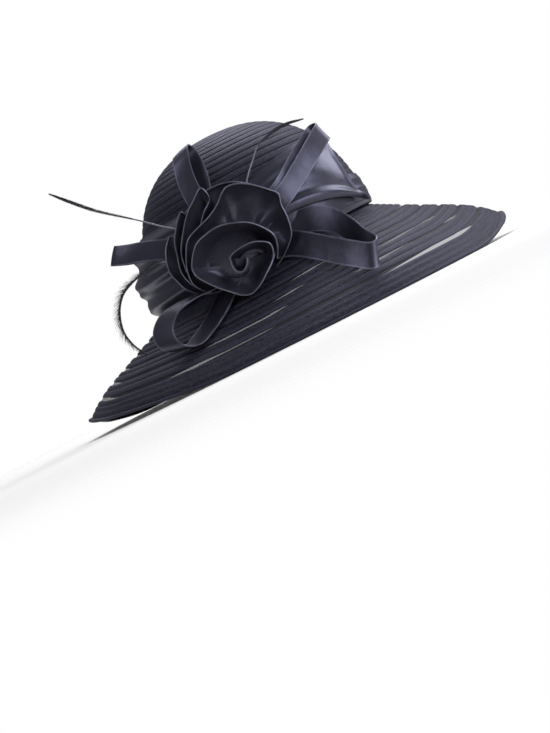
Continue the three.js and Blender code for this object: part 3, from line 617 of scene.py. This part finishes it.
# Each loop's width and bends: across to the right, out towards the camera, up from the table, and the
# ribbon's tilt and turn
LOOPS = {
    "loop_top_left": (17.5, (
        (-27, 106, 110, 18, 0), (-30, 104, 136, 18, 0), (-31, 99, 160, 18, 0), (-27, 93, 181, 18, 0),
        (-24, 86, 188, 18, 0), (-20, 80, 181, 18, 0), (-20, 86, 160, 18, 0), (-25, 98, 136, 18, 0),
        (-25, 102, 110, 18, 0))),
    "loop_left": (17.5, (
        (-42, 107, 104, 65, 0), (-84, 100, 123, 60, 0), (-106, 94, 130, 55, 0), (-116, 86, 134, 54, 0),
        (-106, 79, 130, 55, 0), (-84, 84, 123, 60, 0), (-42, 103, 106, 65, 0))),
    "loop_upright": (18, (
        (-6, 109, 98, 92, 0), (35, 111, 113, 95, 0), (63, 97, 130, 101, 0), (85, 81, 145, 106, 0),
        (93, 71, 151, 107, 0), (87, 65, 152, 107, 0), (62, 85, 137, 101, 0), (34, 104, 118, 95, 0),
        (-6, 104, 101, 92, 0))),
    "loop_right": (23, (
        (-8, 108, 84, 65, 30), (24, 119, 75, 65, 30), (40, 136, 64, 65, 30), (53, 152, 53, 65, 30),
        (66, 166, 43, 65, 30), (78, 173, 35, 65, 30), (84, 170, 36, 65, 30), (79, 153, 48, 65, 30),
        (72, 127, 66, 65, 30), (61, 111, 80, 65, 30), (46, 104, 87, 65, 30), (28, 103, 87, 65, 30),
        (-8, 101, 88, 65, 30))),
    "loop_lower_left": (25, (
        (-32, 98, 78, 8, 138), (-55, 110, 71, 8, 138), (-76, 119, 71, 8, 138), (-93, 126, 67, 8, 138),
        (-103, 131, 57, 8, 138), (-104, 137, 46, 8, 138), (-98, 141, 38, 8, 138), (-87, 143, 35, 8, 138),
        (-72, 137, 41, 8, 138), (-53, 124, 53, 8, 138), (-32, 104, 72, 8, 138))),
}


def trim_place(across, out, up):
    """A place given as seen by someone who faces the rose, in the hat's frame."""
    c, s = math.cos(TRIM_TURN), math.sin(TRIM_TURN)
    return np.array([across * c + out * s, across * s - out * c, up])


def bend_curve(points):
    """A smooth curve through points, evenly shared out between them from 0 to 1. It is a centripetal
    Catmull-Rom spline, which makes no loops where its points crowd."""
    points = [np.asarray(p, float) for p in points]
    table = [2 * points[0] - points[1], *points, 2 * points[-1] - points[-2]]

    def read(share):
        place = share * (len(points) - 1)
        k = min(int(place), len(points) - 2)
        t = place - k
        p0, p1, p2, p3 = table[k:k + 4]
        d0, d1, d2 = [np.linalg.norm(b - a) ** 0.5 for a, b in ((p0, p1), (p1, p2), (p2, p3))]
        m1 = ((p1 - p0) / d0 - (p2 - p0) / (d0 + d1) + (p2 - p1) / d1) * d1
        m2 = ((p2 - p1) / d1 - (p3 - p1) / (d1 + d2) + (p3 - p2) / d2) * d1
        return (p1 * (2 * t ** 3 - 3 * t ** 2 + 1) + m1 * (t ** 3 - 2 * t ** 2 + t)
                + p2 * (3 * t ** 2 - 2 * t ** 3) + m2 * (t ** 3 - t ** 2))

    return read


def heading(line, share):
    """The unit direction of a curve at a share of its length."""
    ahead = line(min(share + CURVE_STEP, 1)) - line(max(share - CURVE_STEP, 0))
    return ahead / np.linalg.norm(ahead)


for name, (width, bends) in LOOPS.items():
    line = bend_curve([bend[:3] for bend in bends])
    tilt = smooth_curve([(k, bend[3]) for k, bend in enumerate(bends)])
    turn = math.radians(bends[0][4])
    grid = []
    for step in range(LOOP_SPANS + 1):
        share = step / LOOP_SPANS
        lean = math.radians(tilt(share * (len(bends) - 1)))
        side = np.array([math.cos(lean) * math.cos(turn), -math.cos(lean) * math.sin(turn),
                         math.sin(lean)])
        face = np.cross(heading(line, share), side)
        face /= np.linalg.norm(face)
        grid.append([trim_place(*(line(share) + side * (at - 0.5) * width
                                  + face * RIBBON_BOW * (1 - (2 * at - 1) ** 2)))
                     for at, _ in RIBBON_ACROSS])
    edge = [mark for _, mark in RIBBON_ACROSS]
    length = np.linalg.norm(np.diff([row[RIBBON_MIDDLE] for row in grid], axis=0), axis=1).sum()
    loop = cloth("satin_" + name, grid, RIBBON_WALL, SATIN, edge, side=0)
    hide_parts(name)


# Rose
# Petals of the same satin with wired hems, rolled round a tight heart and gathered at the foot over a
# padded base, which is sewn to the sash.
ROSE_ACROSS, ROSE_OUT, ROSE_UP = -24, 102, 88
ROSE_HALF_WIDTH, ROSE_HALF_DEPTH, ROSE_HALF_HEIGHT = 40, 15, 32
FOOT_RINGS, FOOT_COLUMNS, FOOT_GATHERS, GATHER_DEPTH = 12, 96, 24, 0.05
PETAL_WALL = 0.8
PETAL_COLUMNS, PETAL_ROWS = 72, 20
PLEAT_LAG = 0.7
# The hem is rolled round its wire by these angles
HEM_ROLL, ROLL_TURNS = 0.4, (70, 150, 220)
# Each petal: its middle across and up, its foot's reach and how far out that is, its pleats and their
# depth, and then its hem from end to end: across, out and up
PETALS = {
    "petal_heart": (-19, 79, 4, 114, 1, 0.1, (
        (-26, 137, 86), (-27, 136, 80), (-26, 135, 74), (-22, 134, 72), (-17, 134, 75), (-14, 134, 80))),
    "petal_inner": (-8, 77, 7, 114, 2, 0.4, (
        (-26, 137, 86), (-22, 138, 88), (-16, 138, 89), (-5, 138, 89), (3, 138, 86), (8, 138, 82),
        (8, 137, 76), (3, 135, 68), (-4, 132, 62))),
    "petal_cup": (-20, 84, 18, 112, 4, 0.6, (
        (-44, 133, 66), (-51, 137, 75), (-57, 139, 85), (-58, 140, 91), (-54, 140, 99), (-46, 140, 108),
        (-34, 140, 112), (-23, 140, 113), (-11, 140, 110), (0, 140, 105), (9, 140, 96), (14, 140, 87),
        (13, 138, 78), (8, 134, 68))),
    "petal_lip": (-24, 80, 12, 116, 3, 1.2, (
        (-57, 136, 92), (-58, 139, 86), (-51, 141, 75), (-43, 142, 66), (-37, 142, 60), (-30, 143, 54),
        (-23, 143, 52), (-13, 142, 56), (-6, 140, 61), (3, 136, 68), (11, 131, 76))),
    "petal_back": (-18, 88, 26, 110, 8, 2.2, (
        (-46, 114, 66), (-55, 118, 69), (-63, 122, 80), (-63, 125, 91), (-59, 127, 102),
        (-51, 127, 115), (-40, 127, 120), (-28, 126, 124), (-17, 126, 130), (-9, 127, 137),
        (-3, 128, 140), (5, 128, 139), (17, 128, 132), (28, 128, 122), (33, 128, 116), (31, 128, 107),
        (31, 128, 96), (28, 127, 82), (22, 124, 75), (13, 120, 68), (4, 116, 63))),
    "petal_upper_left": (-28, 92, 24, 108, 4, 0.9, (
        (-64, 116, 92), (-61, 119, 108), (-51, 121, 124), (-41, 122, 136), (-32, 122, 143),
        (-24, 122, 149), (-22, 122, 149), (-20, 122, 138), (-29, 121, 130), (-36, 119, 122))),
    "petal_left": (-28, 90, 28, 108, 4, 0.9, (
        (-42, 114, 132), (-46, 117, 139), (-50, 118, 136), (-57, 118, 127), (-62, 118, 119),
        (-65, 118, 108), (-68, 117, 93), (-64, 115, 80), (-54, 113, 70))),
    "petal_outer_left": (-30, 88, 30, 106, 3, 0.8, (
        (-64, 108, 126), (-71, 111, 118), (-75, 113, 109), (-77, 113, 98), (-75, 113, 90), (-71, 113, 80),
        (-62, 112, 71), (-49, 111, 67), (-36, 109, 66))),
    "petal_behind": (-22, 90, 30, 105, 4, 0.9, (
        (-58, 108, 122), (-48, 111, 134), (-34, 113, 141), (-18, 114, 146), (0, 114, 144), (14, 113, 136),
        (26, 112, 124), (34, 110, 110))),
}
# The petals are the same satin as the ribbons, painted lighter to make up for the shade among them, and
# their hems carry a painted highlight.
SATIN_PAINTED_LIGHTER = ribbon_satin("satin_painted_lighter_for_shade", "#25252c", "#373740", "#5e5e66")

foot_grid = []
for column in range(FOOT_COLUMNS):
    turn = math.tau * column / FOOT_COLUMNS
    ring = []
    for row in range(FOOT_RINGS + 1):
        climb = math.pi * row / FOOT_RINGS
        gather = 1 - GATHER_DEPTH * (1 - math.cos(FOOT_GATHERS * turn)) * math.sin(climb)
        ring.append(trim_place(
            ROSE_ACROSS + ROSE_HALF_WIDTH * math.sin(climb) * math.cos(turn) * gather,
            ROSE_OUT - ROSE_HALF_DEPTH * math.cos(climb),
            ROSE_UP + ROSE_HALF_HEIGHT * math.sin(climb) * math.sin(turn) * gather))
    foot_grid.append(ring)
rose_foot = cloth("rose_foot", foot_grid, RIBBON_WALL, SATIN_PAINTED_LIGHTER, wrap=True)
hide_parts("rose")

for name, (across, up, foot, foot_out, pleats, depth, hem) in PETALS.items():
    line = bend_curve(hem)
    grid = []
    for column in range(PETAL_COLUMNS + 1):
        along = column / PETAL_COLUMNS
        rim = line(along)
        spread = math.hypot(rim[0] - across, rim[2] - up)
        away = np.array([(rim[0] - across) / spread, 0, (rim[2] - up) / spread])
        start = np.array([across, foot_out, up]) + away * foot
        fold = depth * math.cos(math.tau * pleats * along + PLEAT_LAG)
        ring = []
        for row in range(PETAL_ROWS + 1):
            bowl = row / PETAL_ROWS * math.pi / 2
            open_by = math.sin(bowl) * (rim - start) * (1, 0, 1)
            rise_by = (1 - math.cos(bowl)) * (rim - start) * (0, 1, 0)
            ruck = fold * math.sin(2 * bowl) * (away + (0, 1, 0))
            ring.append(start + open_by + rise_by + ruck)
        for bend in np.radians(ROLL_TURNS):
            ring.append(rim + HEM_ROLL * (away * (1 - math.cos(bend)) + (0, math.sin(bend), 0)))
        grid.append([trim_place(*place) for place in ring])
    # The rolled hem rows are marked for the painted hem highlight.
    edge = [0.0] * (PETAL_ROWS + 1) + [1.0] * len(ROLL_TURNS)
    petal = cloth(name, grid, PETAL_WALL, SATIN_PAINTED_LIGHTER, edge, side=0)
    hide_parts("rose")


# Feathers
# Stripped quills of dyed cockerel feather, sewn in behind the rose. The two upper ones keep a short
# blade near the tip, and the lower one curls down with a fringe of fine barbs along its outer side.
QUILL_SPANS, QUILL_SIDES, TIP_RADIUS = 60, 8, 0.35
BARB_SEGMENTS, BARB_SIDES = 3, 3
BARB_THICKNESS, BARB_DEPTH, BARB_TAPER, BARB_DROOP = 0.25, 0.8, 0.75, 0.25
# How unevenly the barbs are set: along the quill, in their slope, and to either face of the blade
BARB_SHIFT, BARB_LEAN, BARB_SPLAY = 0.6, 0.2, 0.35
# The blade's outline is a part of a half wave, which starts and goes on by these shares, filled out
BLADE_START, BLADE_REACH, BLADE_FULLNESS = 0.1, 0.84, 0.7
FEATHER_CREASE = math.radians(50)
dyed_feather = new_material("dyed_cockerel_feather")
tree = dyed_feather.node_tree
place = add_node(tree, "ShaderNodeTexCoord").outputs["Object"]
mottle = add_node(tree, "ShaderNodeTexNoise", {"Vector": place, "Scale": 900.0}).outputs["Fac"]
tone = add_node(tree, "ShaderNodeMix", {
    MIX_FACTOR: mottle, MIX_A: linear("#17171a"), MIX_B: linear("#3a3a42")}, data_type="RGBA")
bare = add_node(tree, "ShaderNodeAttribute", attribute_name="bare").outputs["Fac"]
stem = add_node(tree, "ShaderNodeMix", {
    MIX_FACTOR: bare, MIX_A: tone.outputs[MIX_RESULT], MIX_B: linear("#74747f")}, data_type="RGBA")
shader = add_node(tree, "ShaderNodeBsdfPrincipled", {
    "Base Color": stem.outputs[MIX_RESULT], "Roughness": 0.45})
add_node(tree, "ShaderNodeOutputMaterial", {"Surface": shader.outputs[0]})
# Each feather: the quill's radius, where its barbs start, their length on its outer and inner side, how
# many, their slope, how ragged they are, and its bends
FEATHERS = {
    "feather_left": (0.85, 0.42, 2.7, 2.4, 320, 1.5, 0.2, (
        (-30, 107, 110), (-65, 94, 136), (-83, 82, 152), (-114, 62, 178), (-131, 50, 195.5),
        (-145, 40, 211))),
    "feather_top": (0.75, 0.5, 2.4, 2.1, 280, 1.5, 0.2, (
        (-8, 109, 106), (17, 100, 142), (27, 92, 153), (37, 88, 163), (52, 83, 168), (66, 80, 169.5),
        (82, 78, 167))),
    "feather_curled": (1.1, 0.12, 8.5, 1.4, 460, 1.1, 0.85, (
        (-44, 111, 94), (-81, 103, 110), (-98, 95, 109), (-112, 88, 106), (-124, 83, 100), (-133, 80, 88),
        (-137, 80, 72), (-134, 84, 58), (-127, 89, 46))),
}
rng = np.random.default_rng(7)


def quill_frame(line, share):
    """The directions ahead and level across a quill at a share of its length."""
    ahead = heading(line, share)
    level = np.cross(ahead, (0, 1, 0))
    return ahead, level / np.linalg.norm(level)


def tube_faces(first, sides, spans):
    """The faces of a closed tube whose rings of points start at a number."""
    faces = [(a + side, a + (side + 1) % sides, a + sides + (side + 1) % sides, a + sides + side)
             for a in range(first, first + sides * spans, sides) for side in range(sides)]
    last = first + sides * spans
    return [*faces, tuple(range(first, first + sides))[::-1], tuple(range(last, last + sides))]


for name, (quill, barbs_from, outer, inner, barbs, slope, ragged, bends) in FEATHERS.items():
    line = bend_curve(bends)
    verts = []
    for step in range(QUILL_SPANS + 1):
        share = step / QUILL_SPANS
        ahead, level = quill_frame(line, share)
        facing = np.cross(level, ahead)
        radius = quill + (TIP_RADIUS - quill) * share
        for side in range(QUILL_SIDES):
            turn = math.tau * side / QUILL_SIDES
            verts.append(line(share) + radius * (level * math.cos(turn) + facing * math.sin(turn)))
    faces = tube_faces(0, QUILL_SIDES, QUILL_SPANS)
    # The barbs leave the quill on its outer and inner side by turns
    for barb in range(barbs * 2):
        along = (barb // 2 + rng.random() * BARB_SHIFT) / barbs
        share = barbs_from + (1 - barbs_from) * along
        ahead, level = quill_frame(line, share)
        blade, away = (inner, level) if barb % 2 else (outer, -level)
        swell = math.sin(math.pi * (along * BLADE_REACH + BLADE_START)) ** BLADE_FULLNESS
        reach = blade * swell * (1 - ragged * rng.random())
        lean = slope + BARB_LEAN * rng.random()
        splay = np.array([0, (rng.random() - 0.5) * BARB_SPLAY, 0])
        faces += tube_faces(len(verts), BARB_SIDES, BARB_SEGMENTS)
        for step in range(BARB_SEGMENTS + 1):
            t = step / BARB_SEGMENTS
            at = line(share) + reach * t * (away * (1 - BARB_DROOP * t) + ahead * lean + splay * t)
            thick = BARB_THICKNESS * (1 - BARB_TAPER * t)
            depth = np.array([0, thick * BARB_DEPTH, 0])
            verts += [at + ahead * thick, at - ahead * thick + depth, at - ahead * thick - depth]
    mesh = bpy.data.meshes.new(name)
    mesh.from_pydata([tuple(trim_place(*place) * MM) for place in verts], [], faces)
    # The quill's points come first in the mesh, and it is bare up to where its barbs start
    rings = np.arange(len(verts)) // QUILL_SIDES / QUILL_SPANS
    mesh.attributes.new("bare", "FLOAT", "POINT").data.foreach_set(
        "value", ((rings < barbs_from) * 1.0).tolist())
    mesh.materials.append(dyed_feather)
    feather = place_mesh("dyed_" + name, mesh, bpy.ops.mesh.normals_make_consistent, inside=False)
    bpy.ops.object.shade_smooth_by_angle(angle=FEATHER_CREASE)
    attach(feather, "root")
    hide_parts(name)
